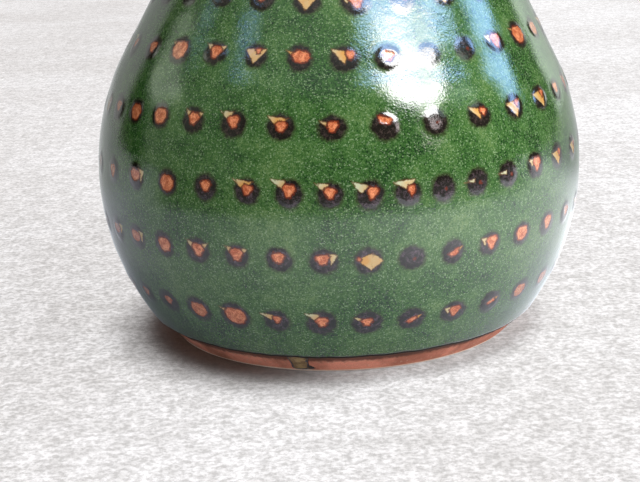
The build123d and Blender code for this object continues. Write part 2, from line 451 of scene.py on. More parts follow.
# %% The bare clay, stained beside the glaze and paler where its edge was bevelled
STAIN, BEVELLED = (0.070, 0.026, 0.014, 1), (0.85, 0.68, 0.56, 1)
clay_finish, g, shader = finish_named("red_clay")
skin = use(g, bare)
stain = g.fray(g.stored("stain"), g.noise(g.position(), 1.1, 3.0, 0.6, 0.7), 0.9)
color = g.mix(g.math("MULTIPLY", g.step(stain, 0.40, 0.95), 0.85), skin["Color"], STAIN)
color = g.mix(g.math("MULTIPLY", g.stored("bevel"), 0.95), color, BEVELLED)
g.feed(shader.inputs["Base Color"], color)
g.feed(shader.inputs["Normal"], skin["Normal"])
shader.inputs["Roughness"].default_value = 0.82
print("finish:", clay_finish.name)

# %% The olive run of glaze, and the two coats that keep their built shape
TEA, TEA_PALE, TEA_EDGE = (0.13, 0.060, 0.014, 1), (0.36, 0.23, 0.075, 1), (0.022, 0.014, 0.010, 1)
run_finish, g, shader = finish_named("olive_glaze")
place_m = g.position()
wander = g.math("SUBTRACT", g.noise(place_m, 0.9, 4.0, 0.6, 0.4), 0.5)
tea = g.mix(g.step(g.noise(place_m, 0.55, 4.0, 0.65, 0.2), 0.35, 0.65), TEA, TEA_PALE)
tea = g.mix(g.step(g.math("MULTIPLY_ADD", wander, 1.2, g.stored("rim")), 0.62, 0.20), tea, TEA_EDGE)
g.feed(shader.inputs["Base Color"], tea)
g.feed(shader.inputs["Normal"], use(g, dimples)["Normal"])
shader.inputs["Roughness"].default_value = 0.16

liner_finish, g, shader = finish_named("liner_glaze")
# The liner keeps half of the painted glints.
paint = use(g, green, Deep=(0.020, 0.085, 0.025, 1), Middle=(0.050, 0.170, 0.045, 1), Flecks=0.5)
g.feed(shader.inputs["Base Color"], paint["Color"])
g.feed(shader.inputs["Normal"], use(g, dimples, Ripple=1.6)["Normal"])
shader.inputs["Roughness"].default_value = 0.10

slip_finish, g, shader = finish_named("cream_slip")
skin = use(g, bare, Clay=(0.70, 0.58, 0.38, 1), Scorch=(0.55, 0.42, 0.25, 1), Grit=(0.85, 0.78, 0.62, 1))
g.feed(shader.inputs["Base Color"], skin["Color"])
g.feed(shader.inputs["Normal"], skin["Normal"])
shader.inputs["Roughness"].default_value = 0.70
print("finishes:", run_finish.name, liner_finish.name, slip_finish.name)

# %% [markdown]
# ## The clay body
#
# The potter throws the wall, bevels the lip with a sponge, then turns the leather-hard pot upside down and
# trims the foot: a level ring, a shallow recess so that the pot stands without rocking, and a narrow bevel
# that keeps the edge from chipping. The trimming tool leaves fine rings, which show on the bare band. A
# Screw modifier could spin one outline into a pot, but not one whose foot is level while its axis leans, so
# the rings are worked out one by one.

# %% Where the foot's edges are
COLUMNS = 384
BAND_TOP = 5.4  # the trimmed band goes on a little under the glaze
FILLET, CROWN = 0.4, 1.6
TOOL_STEPS, WALL_STEPS, INSIDE_STEPS = 44, 61, 50
turns = np.arange(COLUMNS) * 2 * pi / COLUMNS
sole = sqrt((BELLY + CLAY_OUT) ** 2 - ball_z**2)  # radius where the wall would meet the table
wall_angle = asin(ball_z / (BELLY + CLAY_OUT))
recess_r, flat_r = sole - BEVEL - FOOT_RING, sole - BEVEL
bevel_r, bevel_z = sole + BEVEL * sin(wall_angle), BEVEL * cos(wall_angle)
rows, stains, bevels = [], [], []


def add_row(points, stain=0.0, bevel=0.0):
    """Adds a ring of points, with how stained and how bevelled the clay is there."""
    rows.append(points)
    stains.append(stain + np.zeros(COLUMNS))
    bevels.append(np.full(COLUMNS, bevel))


def flat_ring(radius, height):
    return np.stack([radius * np.cos(turns), radius * np.sin(turns), height + 0 * turns], -1)


print("foot ring in mm:", round(recess_r, 2), "to", round(flat_r, 2), "bevel out to", round(bevel_r, 2))

# %% The recess, the ring that it stands on, and the bevel
for share in (0.004, 0.25, 0.5, 0.75, 0.95):
    add_row(flat_ring(recess_r * share, RECESS + 0.02 * sin(40 * share)))
for angle in (radians(0), radians(45), radians(90)):
    add_row(flat_ring(recess_r - FILLET + FILLET * sin(angle), RECESS - FILLET + FILLET * cos(angle)))
for share in (0.0, 0.04, 0.2, 0.4, 0.6, 0.8, 0.96, 1.0):
    add_row(flat_ring(recess_r + 0.01 + (flat_r - recess_r - 0.01) * share, 0.25 * (share < 0.02)))
for share in (0.12, 0.5, 0.88):
    up = bevel_z * share + 0.02 * sin(pi * share)
    add_row(flat_ring(flat_r + (bevel_r - flat_r) * share, up), bevel=1.0)
print("rings under the foot:", len(rows))

# %% The trimmed band, the wall, the lip and the inside
foot_s, band_s = level_s(bevel_z, turns, CLAY_OUT), level_s(BAND_TOP, turns, CLAY_OUT)
for step in range(TOOL_STEPS):
    t = step / (TOOL_STEPS - 1)
    tool = 0.016 * sin(step * 2.4) + 0.010 * sin(step * 1.1 + 1)
    near_glaze = np.clip((bevel_z + (BAND_TOP - bevel_z) * t - 2.0) / 1.2, 0, 1)
    ring = wall(foot_s + (band_s - foot_s) * t, turns, CLAY_OUT - 0.03 + tool, 0.0)
    add_row(ring, stain=near_glaze, bevel=1.0 if step == 0 else 0.0)
for t in np.linspace(0, 1, WALL_STEPS)[1:]:
    s = band_s + (LIP - band_s) * t
    add_row(wall(s, turns, CLAY_OUT, leaning(s)))
lip_out, lip_in = profile(LIP, CLAY_OUT), profile(LIP, CLAY_IN)
middle_r, middle_h = (lip_out[0] + lip_in[0]) / 2, (lip_out[1] + lip_in[1]) / 2
half_r, half_h = (lip_out[0] - lip_in[0]) / 2, (lip_out[1] - lip_in[1]) / 2
for angle in (radians(50), radians(130)):
    r = middle_r + half_r * cos(angle) + sin(FLARE) * CROWN * sin(angle)
    h = middle_h + half_h * cos(angle) + cos(FLARE) * CROWN * sin(angle)
    add_row(place(r, h, turns))
inside_end = BELLY * asin((FLOOR_AT - BELLY_AT) / (BELLY + CLAY_IN))
for t in np.linspace(0, 1, INSIDE_STEPS):
    add_row(wall(LIP + (inside_end - LIP) * t, turns, CLAY_IN))
floor_r = profile(inside_end, CLAY_IN)[0]
for share in (0.66, 0.33, 0.004):
    add_row(place(floor_r * share, FLOOR_AT, turns))
verts = np.concatenate(rows)
faces = ring_faces(len(rows), COLUMNS, False)
faces.append(list(range(COLUMNS))[::-1])
faces.append([len(verts) - COLUMNS + i for i in range(COLUMNS)])
clay = mesh_piece("clay_body_turned", verts, faces, clay_finish)
store(clay, "stain", np.concatenate(stains))
store(clay, "bevel", np.concatenate(bevels))
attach(clay, "root")
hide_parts("clay_body")
print("clay quads:", len(faces))

# %% [markdown]
# ## The green glaze
#
# The pot was dipped, and the foot wiped clean, so the glaze ends in a wavering line that rounds over on to
# the clay. Fluid glaze gathers there, a little thicker and much darker than the rest. On the lip it runs
# thin and breaks to a warm brown. It could be painted on to the clay's mesh, but a coat of its own gives
# the edge a real roll that catches the light.

# %% Build the glaze from its lower edge, over the lip, and back behind itself
AROUND, UP, OVER_LIP, BACK_DOWN = 512, 150, 18, 30
ROLL, ROLL_OUT, COAT_START = 0.55, 0.62, 1.0
NOT_EDGE = 9.0  # a value for the edge's field that is far from any edge
turns = np.arange(AROUND) * 2 * pi / AROUND


def glaze_edge(turn):
    """Height of the lower edge of the glaze above the table."""
    slow = 0.16 * np.sin(2 * turn + 0.6) + 0.10 * np.sin(5 * turn + 2.1)
    quick = 0.07 * np.sin(13 * turn) * np.sin(3 * turn + 1) + 0.05 * np.sin(29 * turn + 2 * np.sin(4 * turn))
    return GLAZE_LINE - 0.05 + slow + quick + 0.03 * np.sin(61 * turn + 3 * np.sin(7 * turn))


start = level_s(glaze_edge(turns), turns)
rows, edges, thins = [], [], []


def add_coat(points, edge, thin=0.0):
    """Adds a ring of points, with how far it is from the coat's edge and how thin the coat is there."""
    rows.append(points)
    edges.append(edge + np.zeros(AROUND))
    thins.append(thin + np.zeros(AROUND))


for angle in (radians(-80), radians(-55), radians(-30), radians(0), radians(30)):  # the edge rolls outwards
    s = start + 0.42 + ROLL * sin(angle) * 0.75
    add_coat(wall(s, turns, CLAY_OUT + 0.06 + ROLL_OUT * cos(angle), 0.0), 0.1)
for t in np.linspace(0, 1, UP) ** 1.15:
    s = start + COAT_START + (LIP - start - COAT_START) * t
    bead = 0.05 * np.exp(-((s - start - COAT_START) ** 2) / 2.0)
    add_coat(wall(s, turns, bead, leaning(s)), (s - start) / 1.6, np.clip(1 - (LIP - s) / 3.0, 0, 1))
lip_out, lip_in = profile(LIP, 0.0), profile(LIP, LINER_IN)
reach = sqrt((lip_out[0] - lip_in[0]) ** 2 + (lip_out[1] - lip_in[1]) ** 2) / 2
middle = ((lip_out[0] + lip_in[0]) / 2, (lip_out[1] + lip_in[1]) / 2)
for angle in np.linspace(0, 180, OVER_LIP + 1)[1:]:
    c, s = cos(radians(angle)) * reach, sin(radians(angle)) * reach
    r = middle[0] + cos(FLARE) * c + sin(FLARE) * s
    h = middle[1] - sin(FLARE) * c + cos(FLARE) * s
    add_coat(place(r + 0 * turns, h, turns), NOT_EDGE, 1.0 if angle < 150 else 0.6)
for t in np.linspace(0, 1, BACK_DOWN):
    s = LIP + (start + 0.3 - LIP) * t
    add_coat(wall(s, turns, CLAY_OUT - 0.02, leaning(s)), NOT_EDGE)
faces = ring_faces(len(rows), AROUND, True)
glaze = mesh_piece("green_glaze_coat", np.concatenate(rows), faces, glaze_finish, 60)
store(glaze, "edge", np.concatenate(edges))
store(glaze, "thin", np.concatenate(thins))
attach(glaze, "root")
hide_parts("outer_glaze")
print("glaze quads:", len(glaze.data.polygons))

# %% [markdown]
# ## The slip dots
#
# Each dot is a touch of near-black slip from a brush or bulb. Before firing, a nick was cut through it:
# where the blade went shallow the cream slip shows as a horn, and where it went deep the red clay shows as
# a round orange spot. Under the glaze they read as small eyes. Copies of one dot would look stamped, and no
# two of the real ones are alike, so every dot is given one of a few ways of being cut, and is then varied a
# little.

# %% The ways in which a dot may be cut
# Each way holds the cream triangles as corner points, the clay spot as (across, up, width, height, turn), and
# how golden the cream is. Millimetres from the dot's middle, seen from outside.
WAYS = {
    "L": ([((-2.9, 2.0), (-0.5, 1.9), (-0.9, 0.6))], (0.0, 0.45, 1.0, 1.0, 0), 0.15),
    "P": ([((-2.7, 1.9), (-0.1, 1.25), (-1.3, 0.3))], (0.4, 0.35, 0.8, 0.95, 0), 0.15),
    "H": ([((-2.6, 1.6), (0.9, 2.0), (-0.3, 0.6))], (0.5, 0.3, 0.55, 0.9, 0), 0.1),
    "M": ([((-2.6, 1.9), (1.0, 1.6), (-0.6, 0.2))], (0.05, 0.25, 0.95, 0.85, 0), 0.5),
    "Z": ([((-2.9, 1.4), (-0.3, 1.1), (-0.9, 0.2))], (0.2, 0.3, 0.75, 0.8, 0), 0.4),
    "l": ([((-2.3, 1.2), (-0.9, 1.0), (-1.0, 0.4))], (0.05, 0.35, 1.0, 0.85, 0), 0.2),
    "R": ([((0.8, 1.3), (2.3, 1.2), (1.5, -0.6))], (-0.2, 0.3, 1.3, 1.0, 0), 0.2),
    "B": (
        [((-2.1, 1.7), (-0.8, 1.4), (-1.2, 0.5)), ((0.9, 1.3), (2.1, 1.6), (1.3, 0.5))],
        (0, 0.3, 1.2, 1.15, 0),
        0.2,
    ),
    "Y": ([((-2.2, 1.0), (-0.5, 1.1), (-1.2, -0.3))], (0.3, 0.15, 1.2, 1.3, 0), 0.1),
    "T": ([((-2.0, 1.1), (-0.8, 0.9), (-1.1, 0.3))], (0.2, 0.3, 1.35, 1.0, 0), 0.6),
    "g": ([((-2.1, 1.4), (0.4, 1.0), (0.0, -0.9))], (0.9, 0.6, 0.75, 0.7, 0), 0.6),
    "G": ([((-2.2, 1.1), (2.0, 1.2), (0.0, -1.6))], (0.45, 0.9, 0.55, 0.5, 0), 0.9),
    "E": (
        [((-2.1, 0.3), (0.7, 1.3), (0.3, -1.5)), ((0.7, 1.3), (2.4, 0.1), (0.3, -1.5))],
        (-1.6, 0.3, 0.3, 0.3, 0),
        0.85,
    ),
    "V": ([((-1.9, 0.6), (1.7, 1.2), (0.5, -1.8))], (0.9, 0.7, 0.5, 0.6, 0), 0.7),
    "S": ([((0.2, 0.4), (1.5, 0.9), (1.1, 0.3))], (0.1, 0.0, 1.0, 0.4, 0.5), 0.8),
    "j": ([((-2.6, 0.1), (-0.8, 0.5), (-0.8, 0.0))], (0.6, -0.2, 0.05, 0.05, 0), 0.2),
    "C": ([], (0.0, 1.1, 1.4, 0.6, -0.15), 0.3),
    "O": ([], (0.0, 0.3, 1.15, 1.0, 0), 0.3),
    "k": ([], (0.0, 0.1, 1.45, 1.4, 0), 0.3),
    "K": ([((-2.9, 1.5), (-1.6, 1.2), (-1.7, 0.5))], (0.0, 0.0, 1.95, 1.85, 0), 0.3),
    "D": ([], (0.6, -0.2, 0.05, 0.05, 0), 0.3),
}
COMMON = "LLLPMZBBOOkkKRRYTgGHlSjDV"
# Rows from the foot up: height, count, turn and crowding as built in the frame, the dots' radius, then the cuts
# as they follow one another across the front, and the number of the dot that the first of them falls on.
ROWS = (
    (12.0, 34, 0.6, 0.0, 2.35, "OOkKZLlSYSkk", -6),
    (23.3, 37, 0.54, 1.4, 2.15, "RRkBBOREDSYkkO", -7),
    (34.0, 37, 0.38, 5.6, 2.15, "kRkOMLLPHDjjYV", -7),
    (44.3, 35, 0.91, -3.0, 2.15, "OkkBLMlCDgVVO", -7),
    (54.3, 31, 0.9, 2.5, 2.15, "OKBGTgODDYKk", -6),
    (62.8, 27, 0.22, 0.0, 2.2, "DlG", -3),
    (72.4, 23, 0.9, 0.0, 2.2, "LBk", -1),
    (82.4, 18, 0.3, 0.0, 2.1, "gL", -1),
)
WAVER, CROWDED = 0.6, radians(-76.5)
print("ways to cut a dot:", len(WAYS), "dots in all:", sum(row[1] for row in ROWS))


# %% How far a point is outside a horn or a spot
def triangle_distance(u, v, corners):
    """How far points are outside a triangle, negative inside."""
    sides = list(zip(corners, corners[1:] + corners[:1]))
    area = sum(a[0] * b[1] - b[0] * a[1] for a, b in sides)
    found = -9e9 + 0 * u
    for a, b in sides:
        ex, ey = b[0] - a[0], b[1] - a[1]
        side = ((u - a[0]) * ey - (v - a[1]) * ex) / sqrt(ex * ex + ey * ey)
        found = np.maximum(found, side if area > 0 else -side)
    return found


def spot_distance(u, v, spot):
    """How far points are outside an oval spot with slightly flattened cheeks, negative inside."""
    c, s = cos(spot[4]), sin(spot[4])
    x, y = (u - spot[0]) * c + (v - spot[1]) * s, (v - spot[1]) * c - (u - spot[0]) * s
    oval = (np.sqrt((x / spot[2]) ** 2 + (y / spot[3]) ** 2) - 1) * min(spot[2], spot[3])
    cheeks = (np.abs(x) * 0.88 - y * 0.48) - (0.72 if spot[2] < 1.25 else 0.95) * spot[2]
    return np.maximum(np.maximum(oval, cheeks), y - 0.82 * spot[3])


print("middle of a spot is inside it by, in mm:", round(-float(spot_distance(0.0, 0.1, WAYS["k"][1])), 2))

# %% How one dot differs from the next
chance = np.random.default_rng(41)
IN_FRONT = radians(75)
GLAZE_MARGIN, HORN_MARGIN = 0.95, 0.85  # mm of glaze that a dot's patch keeps beyond its disc and its horns


def dot_middle(height, turn):
    """How far up the leaning wall a point at a height above the table is."""
    s = np.interp(height, (3.0, 70.0, 128.0), (-28.0, 45.0, 103.0))
    for _ in range(30):
        radius, along, _ = profile(s, 0.0)
        s = s + 0.7 * (height - place(radius, along, turn)[..., 2])
    return float(s)


def vary(cut, turn, size):
    """A dot's own horns, spot, goldness, radius, width and height, varied from its way of being cut."""
    horns, spot, gold = WAYS[cut]
    narrow = 0.90 + 0.10 * float(np.clip((radians(-72) - turn) / radians(14), 0, 1))
    narrow = narrow if abs(turn + pi / 2) < IN_FRONT else chance.uniform(0.88, 1.0)
    size = size * narrow * (1.14 if cut == "K" else 1.0)
    grow, skew = narrow * chance.uniform(0.9, 1.08), chance.uniform(-0.12, 0.12)
    shift = chance.uniform(-0.15, 0.15, 2)
    horns = [[(x * grow + y * skew + shift[0], y * grow + shift[1]) for x, y in horn] for horn in horns]
    at, oval = (spot[0] * grow + shift[0], spot[1] * grow + shift[1]), (spot[2] * grow, spot[3] * grow)
    wide, tall = size * chance.uniform(0.94, 1.06), size * chance.uniform(0.94, 1.05)
    return horns, (*at, *oval, spot[4] + skew), gold, size, wide, tall


def patch_reach(horns, widest, spoke):
    """How far a dot's patch goes along each spoke: beyond its disc, and further where a horn points."""
    reach = widest + GLAZE_MARGIN + 0 * spoke
    for x, y in (corner for horn in horns for corner in horn):
        away = np.abs((spoke - np.arctan2(y, x) + pi) % (2 * pi) - pi)
        pointed = np.clip(1.05 - 0.55 * away**1.3, 0, 1)
        reach = np.maximum(reach, (sqrt(x * x + y * y) + HORN_MARGIN) * pointed)
    return reach


def one_middle(grid):
    """A grid of rings as one list, with the first ring, which is all the same point, kept once."""
    return np.concatenate([grid[0, :1], grid[1:].reshape(-1, *grid.shape[2:])])


# %% One row of dots
RINGS, SPOKES = 12, 40
MOUNDS = [0.02, 0.03, 0.05, 0.10]  # how high a dot may stand, in mm
spoke = np.arange(SPOKES) * 2 * pi / SPOKES
ring = (np.arange(RINGS + 1) / RINGS)[:, None]
next_spoke = (np.arange(SPOKES) + 1) % SPOKES
middle_fan = np.stack([np.zeros(SPOKES, int), np.arange(SPOKES) + 1, next_spoke + 1], -1)
patch_quads = np.array(ring_faces(RINGS, SPOKES, False))[:, ::-1] + 1


def build_row(number, height, size, turns, cuts):
    """One piece that holds a row's dots, each a low mound that carries its own cut."""
    verts, faces, marks, golds = [], [], [], []
    for (even, turn), cut in zip(turns, cuts):
        s0 = dot_middle(height - WAVER * cos(3 * (even - CROWDED)), turn)
        radius = float(profile(s0, 0.0)[0])
        horns, spot, gold, disc_size, wide, tall = vary(cut, turn, size)
        slow, quick = chance.uniform(0, 6), chance.uniform(0, 6)
        lobes = 1 + 0.03 * np.sin(2 * spoke + slow) + 0.02 * np.sin(5 * spoke + quick)
        reach = patch_reach(horns, max(wide, tall), spoke)
        u, v = ring * reach * np.cos(spoke), ring * reach * np.sin(spoke)
        disc = (np.sqrt((u / wide) ** 2 + (v / tall) ** 2) / lobes - 1) * disc_size
        cream = 9.0 + 0 * u
        for horn in horns:
            cream = np.minimum(cream, triangle_distance(u, v, horn))
        clay_spot = spot_distance(u, v, spot)
        dome = ease(np.clip(-disc / 1.1 + 0.35, 0, 1))
        nick = np.clip(0.5 - np.minimum(cream, clay_spot) / 0.5, 0, 1)
        mound = chance.choice(MOUNDS)
        rise = 0.006 + mound * dome * (1 - 0.6 * nick) + 0.03 * dome * np.clip(1 - (u * u + v * v) / 6, 0, 1)
        inner = np.clip((1 - ring) * reach / 0.5, 0, 1) + 0 * u
        rise = rise * inner - 0.010 * (1 - inner)  # the rim dips into the glaze, so that no edge shows
        around = turn + u / radius
        wall_r, wall_h, tilt = profile(s0 + v, 0.0)
        out = place(wall_r + np.cos(tilt), wall_h + np.sin(tilt), around) - place(wall_r, wall_h, around)
        tone = gold - 0.15 + np.clip(1.1 - clay_spot / 1.5, 0, 1) * 0.75 * (gold < 0.9)
        base = sum(len(patch) for patch in verts)
        verts.append(one_middle(wall(s0 + v, around) + out * rise[..., None]))
        marks.append(one_middle(np.stack([disc, cream, clay_spot], -1)))
        golds.append(one_middle(tone))
        faces += (middle_fan + base).tolist() + (patch_quads + base).tolist()
    piece = mesh_piece(f"slip_dots_{number}", np.concatenate(verts), faces, dot_finish, 80)
    store(piece, "marks", np.concatenate(marks))
    store(piece, "gold", np.concatenate(golds))
    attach(piece, "root")
    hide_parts(f"dab_row_{number}")
    return piece


print("faces in one dot:", len(middle_fan) + len(patch_quads))

# %% Set out the rows and make them
for number, (height, count, row_turn, crowding, size, cuts, first) in enumerate(ROWS, 1):
    even = 2 * pi * (np.arange(count) + row_turn) / count - pi / 2
    drifted = even - radians(crowding) * np.sin(2 * (even - CROWDED))
    ways = [str(chance.choice(list(COMMON))) for _ in range(count)]
    for i, cut in enumerate(cuts):
        ways[(first + i) % count] = cut
    piece = build_row(number, height, size, list(zip(even, drifted)), ways)
    print(piece.name, "dots:", count, "faces:", len(piece.data.polygons))

# %% [markdown]
# ## The run of glaze on the foot
#
# In one place the glaze crept down the bare clay while it was molten. Thinned out over red clay, copper
# green turns olive-brown, and it gathers in a dark line along both edges. It stops at the bevel. It could
# be a stain in the clay's material, but a real run stands proud, so it is a closed drop.

# %% Build the run as a closed drop on the clay
RUN_TURN, RUN_WIDE, RUN_LOW, RUN_HIGH, RUN_THICK = radians(-104.0), 1.75, 0.62, 4.3, 0.34
TOE_AT, TOE_SPREAD = 0.72, 0.55  # from this share of its length on, one side spreads
across, down = np.meshgrid(np.linspace(-1, 1, 41), np.linspace(0, 1, 49))
toe = TOE_SPREAD * np.clip((down - TOE_AT) / (1 - TOE_AT), 0, 1) ** 2 * (across > 0)
spread = RUN_WIDE * (1 + 0.10 * np.sin(5 * down + 1) + toe)
round_end = np.sqrt(np.clip(1 - (np.abs(across) ** 2.6), 0, 1))
height = RUN_HIGH - (RUN_HIGH - RUN_LOW) * down * (0.86 + 0.14 * round_end)
s = level_s(height, 0 * height, CLAY_OUT)
turn = RUN_TURN + across * spread / profile(s, CLAY_OUT)[0]
sides_in, end_in = 1 - np.abs(across) ** 3.5, 1 - np.clip((down - 0.8) / 0.2, 0, 1) ** 3
body = np.clip(sides_in, 0, 1) ** 0.5 * np.clip(end_in, 0, 1) ** 0.5
thick = RUN_THICK * body * (0.8 + 0.2 * np.sin(4 * down)) - 0.05 * (1 - body)
front, back = wall(s, turn, CLAY_OUT + thick, 0.0), wall(s, turn, CLAY_OUT - 0.15, 0.0)
verts = np.concatenate([front.reshape(-1, 3), back.reshape(-1, 3)])
number = np.arange(across.size).reshape(across.shape)
quads = np.stack([number[:-1, :-1], number[1:, :-1], number[1:, 1:], number[:-1, 1:]], -1).reshape(-1, 4)
border = np.concatenate([number[0], number[1:, -1], number[-1, -2::-1], number[-2:0:-1, 0]]).tolist()
faces = quads.tolist() + (quads[:, ::-1] + across.size).tolist()
faces += [[p, q, q + across.size, p + across.size] for p, q in zip(border, border[1:] + border[:1])]
run = mesh_piece("glaze_run_drop", verts, faces, run_finish, 60)
rim = np.minimum((1 - np.abs(across)) * RUN_WIDE, (1 - down) * 3.5)
store(run, "rim", np.concatenate([rim.ravel(), rim.ravel()]))
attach(run, "root")
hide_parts("glaze_run")
print("run faces:", len(run.data.polygons))

# %% [markdown]
# ## The layers that keep their built shape
#
# The liner glaze was poured in and out, and the cream slip lies hidden between clay and glaze. Both are
# even coats whose built shape is already right, so they keep it and only take their finish.

# %% Dress the liner and the slip
for node, finish, slot_name in (
    ("inner_glaze", liner_finish, "liner_glaze"),
    ("slip_coat", slip_finish, "cream_slip"),
):
    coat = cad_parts[node]
    coat.data.materials.clear()
    coat.data.materials.append(finish)
    print(node, "wears", finish.name)

# %% [markdown]
# ## The table
#
# The vase stands on pale, sandy plaster. An evenly lit table could be had from many soft lights, but then
# the pot would lose its darks. So most of the table's brightness is painted in as its own glow, tinted by its
# grain, with painted light that makes it brighter to the right and a painted shadow where the pot stands on
# it, and only the rest comes from the light. What the table shows to the eye, what it throws back as soft
# light and what the glaze mirrors of it are set apart with a Light Path node.

# %% The grain of the plaster, and painted light that makes it brighter to the right
TABLE_GLOW = 0.80  # the share of the table's brightness that is its own
table_finish, g, shader = finish_named("plaster_table")
place_m = g.position()
to_right, to_back, _ = g.split(place_m)
soft = g.noise(place_m, 0.012, 4.0, 0.6, 0.2)
gritty = g.noise(place_m, 0.22, 6.0, 0.75, 0.5)
sandy = g.noise(place_m, 0.9, 4.0, 0.7, 0.3)
tone = g.math("MULTIPLY_ADD", gritty, 0.36, g.math("MULTIPLY", sandy, 0.34))
tone = g.math("MULTIPLY_ADD", soft, 0.30, tone)
plaster = g.mix(g.step(tone, 0.40, 0.60), (0.66, 0.645, 0.645, 1), (0.80, 0.79, 0.80, 1))
tint = g.mix(g.step(gritty, 0.42, 0.58), (0.84, 0.835, 0.83, 1), (1.055, 1.055, 1.06, 1))
tint = g.times(tint, g.mix(g.step(sandy, 0.40, 0.60), (0.72, 0.715, 0.71, 1), (1.09, 1.09, 1.095, 1)))
tint = g.times(tint, g.mix(g.step(soft, 0.38, 0.62), (0.93, 0.92, 0.91, 1), (1.03, 1.03, 1.03, 1)))
# Painted light: the table is dimmer to the left of the pot and brighter to its right, where the window light
# falls.
dimmer_left, brighter_right = g.times(tint, (0.91, 0.895, 0.89, 1)), g.times(tint, (1.07, 1.07, 1.075, 1))
tint = g.mix(g.step(to_right, -0.14, 0.14), dimmer_left, brighter_right)
shader.inputs["Roughness"].default_value = 0.85
g.feed(shader.inputs["Normal"], g.bump(gritty, 0.0006))
print("table grain nodes:", len(g.tree.nodes))

# %% What the glaze mirrors of the table: bright around the pot, with painted light to its right and painted shade close around it, greyer behind it and dark in front
MIRROR_LEFT, MIRROR_RIGHT, MIRROR_BACK = (0.66, 0.67, 0.76, 1), (1.05, 1.08, 1.17, 1), (0.52, 0.53, 0.53, 1)
ray = g.node("ShaderNodeLightPath")
away = g.node("ShaderNodeVectorMath", operation="LENGTH")
g.feed(away.inputs[0], place_m)
away = away.outputs["Value"]
dim = g.math("MULTIPLY", g.step(away, 0.15, 0.23), g.step(to_back, 0.02, -0.06))
# Painted light in the mirrored table: dimmer to the left of the pot and brighter to its right.
near_table = g.mix(g.step(to_right, -0.10, 0.0), MIRROR_LEFT, MIRROR_RIGHT)
near_table = g.mix(g.step(to_back, 0.04, 0.14), near_table, MIRROR_BACK)
# Painted shade in the mirrored table, close around and under the pot.
near_table = g.mix(g.step(away, 0.075, 0.045), near_table, g.times(near_table, (0.66, 0.68, 0.72, 1)))
mirrored = g.mix(dim, near_table, (0.14, 0.13, 0.10, 1))
bounced = g.mix(ray.outputs["Is Diffuse Ray"], plaster, (0.45, 0.45, 0.46, 1))
g.feed(shader.inputs["Base Color"], g.mix(ray.outputs["Is Glossy Ray"], bounced, mirrored))
# Painted light: the mirrored table glows more to the right of the pot.
bright_side = g.math("MULTIPLY", g.step(to_right, 0.0, 0.07), g.step(to_back, 0.12, 0.03))
bright_side = g.math("MULTIPLY", bright_side, g.math("SUBTRACT", 1.0, dim))
mirror_glow = g.mix(bright_side, (0, 0, 0, 1), (0.80, 0.83, 0.83, 1))
print("mirrored table nodes:", len(g.tree.nodes))


# %% A shadow painted into the table's glow: a thin dark line where the pot touches it, and a soft shade to its left
def openness(distance):
    """How open a point of the table is to the air within a distance: 1 in the open, less beside the pot."""
    made = g.node("ShaderNodeAmbientOcclusion", samples=8)
    made.inputs["Distance"].default_value = distance
    return made.outputs["AO"]


def less(value):
    return g.math("SUBTRACT", 1.0, value)


touching = g.math(
    "MULTIPLY", less(g.step(openness(0.006), 0.36, 0.92)), g.step(to_right, 0.012, -0.024, 0.45, 1.0)
)
soft_shade = g.math(
    "MULTIPLY", less(g.step(openness(0.013), 0.30, 0.95, 0.10, 1.0)), g.step(to_right, 0.012, -0.022)
)
lit = g.math("MULTIPLY", less(touching), less(soft_shade))
# The table's glow, darkened to a warm brown where the painted shadow falls.
own = g.mix(g.math("MULTIPLY", lit, TABLE_GLOW), (0.022, 0.008, 0.003, 1), (1.03, 1.025, 1.03, 1))
glow = g.node("ShaderNodeEmission")
g.feed(glow.inputs["Color"], g.mix(ray.outputs["Is Glossy Ray"], g.times(own, tint), mirror_glow))
g.feed(glow.inputs["Strength"], g.math("MAXIMUM", ray.outputs["Is Glossy Ray"], ray.outputs["Is Camera Ray"]))
black = g.node("ShaderNodeBsdfDiffuse")
black.inputs["Color"].default_value = (0, 0, 0, 1)
dull = g.node("ShaderNodeMixShader")
g.feed(dull.inputs[0], g.math("MULTIPLY", ray.outputs["Is Camera Ray"], TABLE_GLOW))
g.feed(dull.inputs[1], shader.outputs[0])
g.feed(dull.inputs[2], black.outputs[0])
total = g.node("ShaderNodeAddShader")
g.feed(total.inputs[0], dull.outputs[0])
g.feed(total.inputs[1], glow.outputs[0])
g.feed(table_finish.node_tree.nodes["Material Output"].inputs["Surface"], total.outputs[0])
bpy.ops.mesh.primitive_plane_add(size=6)
table = bpy.context.object
table.name = "plaster_table"
table.data.materials.append(table_finish)
print("table width in m:", round(table.dimensions.x, 2))

# %% [markdown]
# ## The room
#
# Glossy glaze shows its surroundings, so what the glaze sees matters as much as what lights it. A
# ready-made panorama could stand in for the room, but it would bring its own colours, so the room is
# painted with a few soft steps of direction instead: dark in front, pale on the wall behind, which lightens
# the pot's edges, and brighter to the right. Again a Light Path node keeps what is mirrored apart from what
# lights the pot.

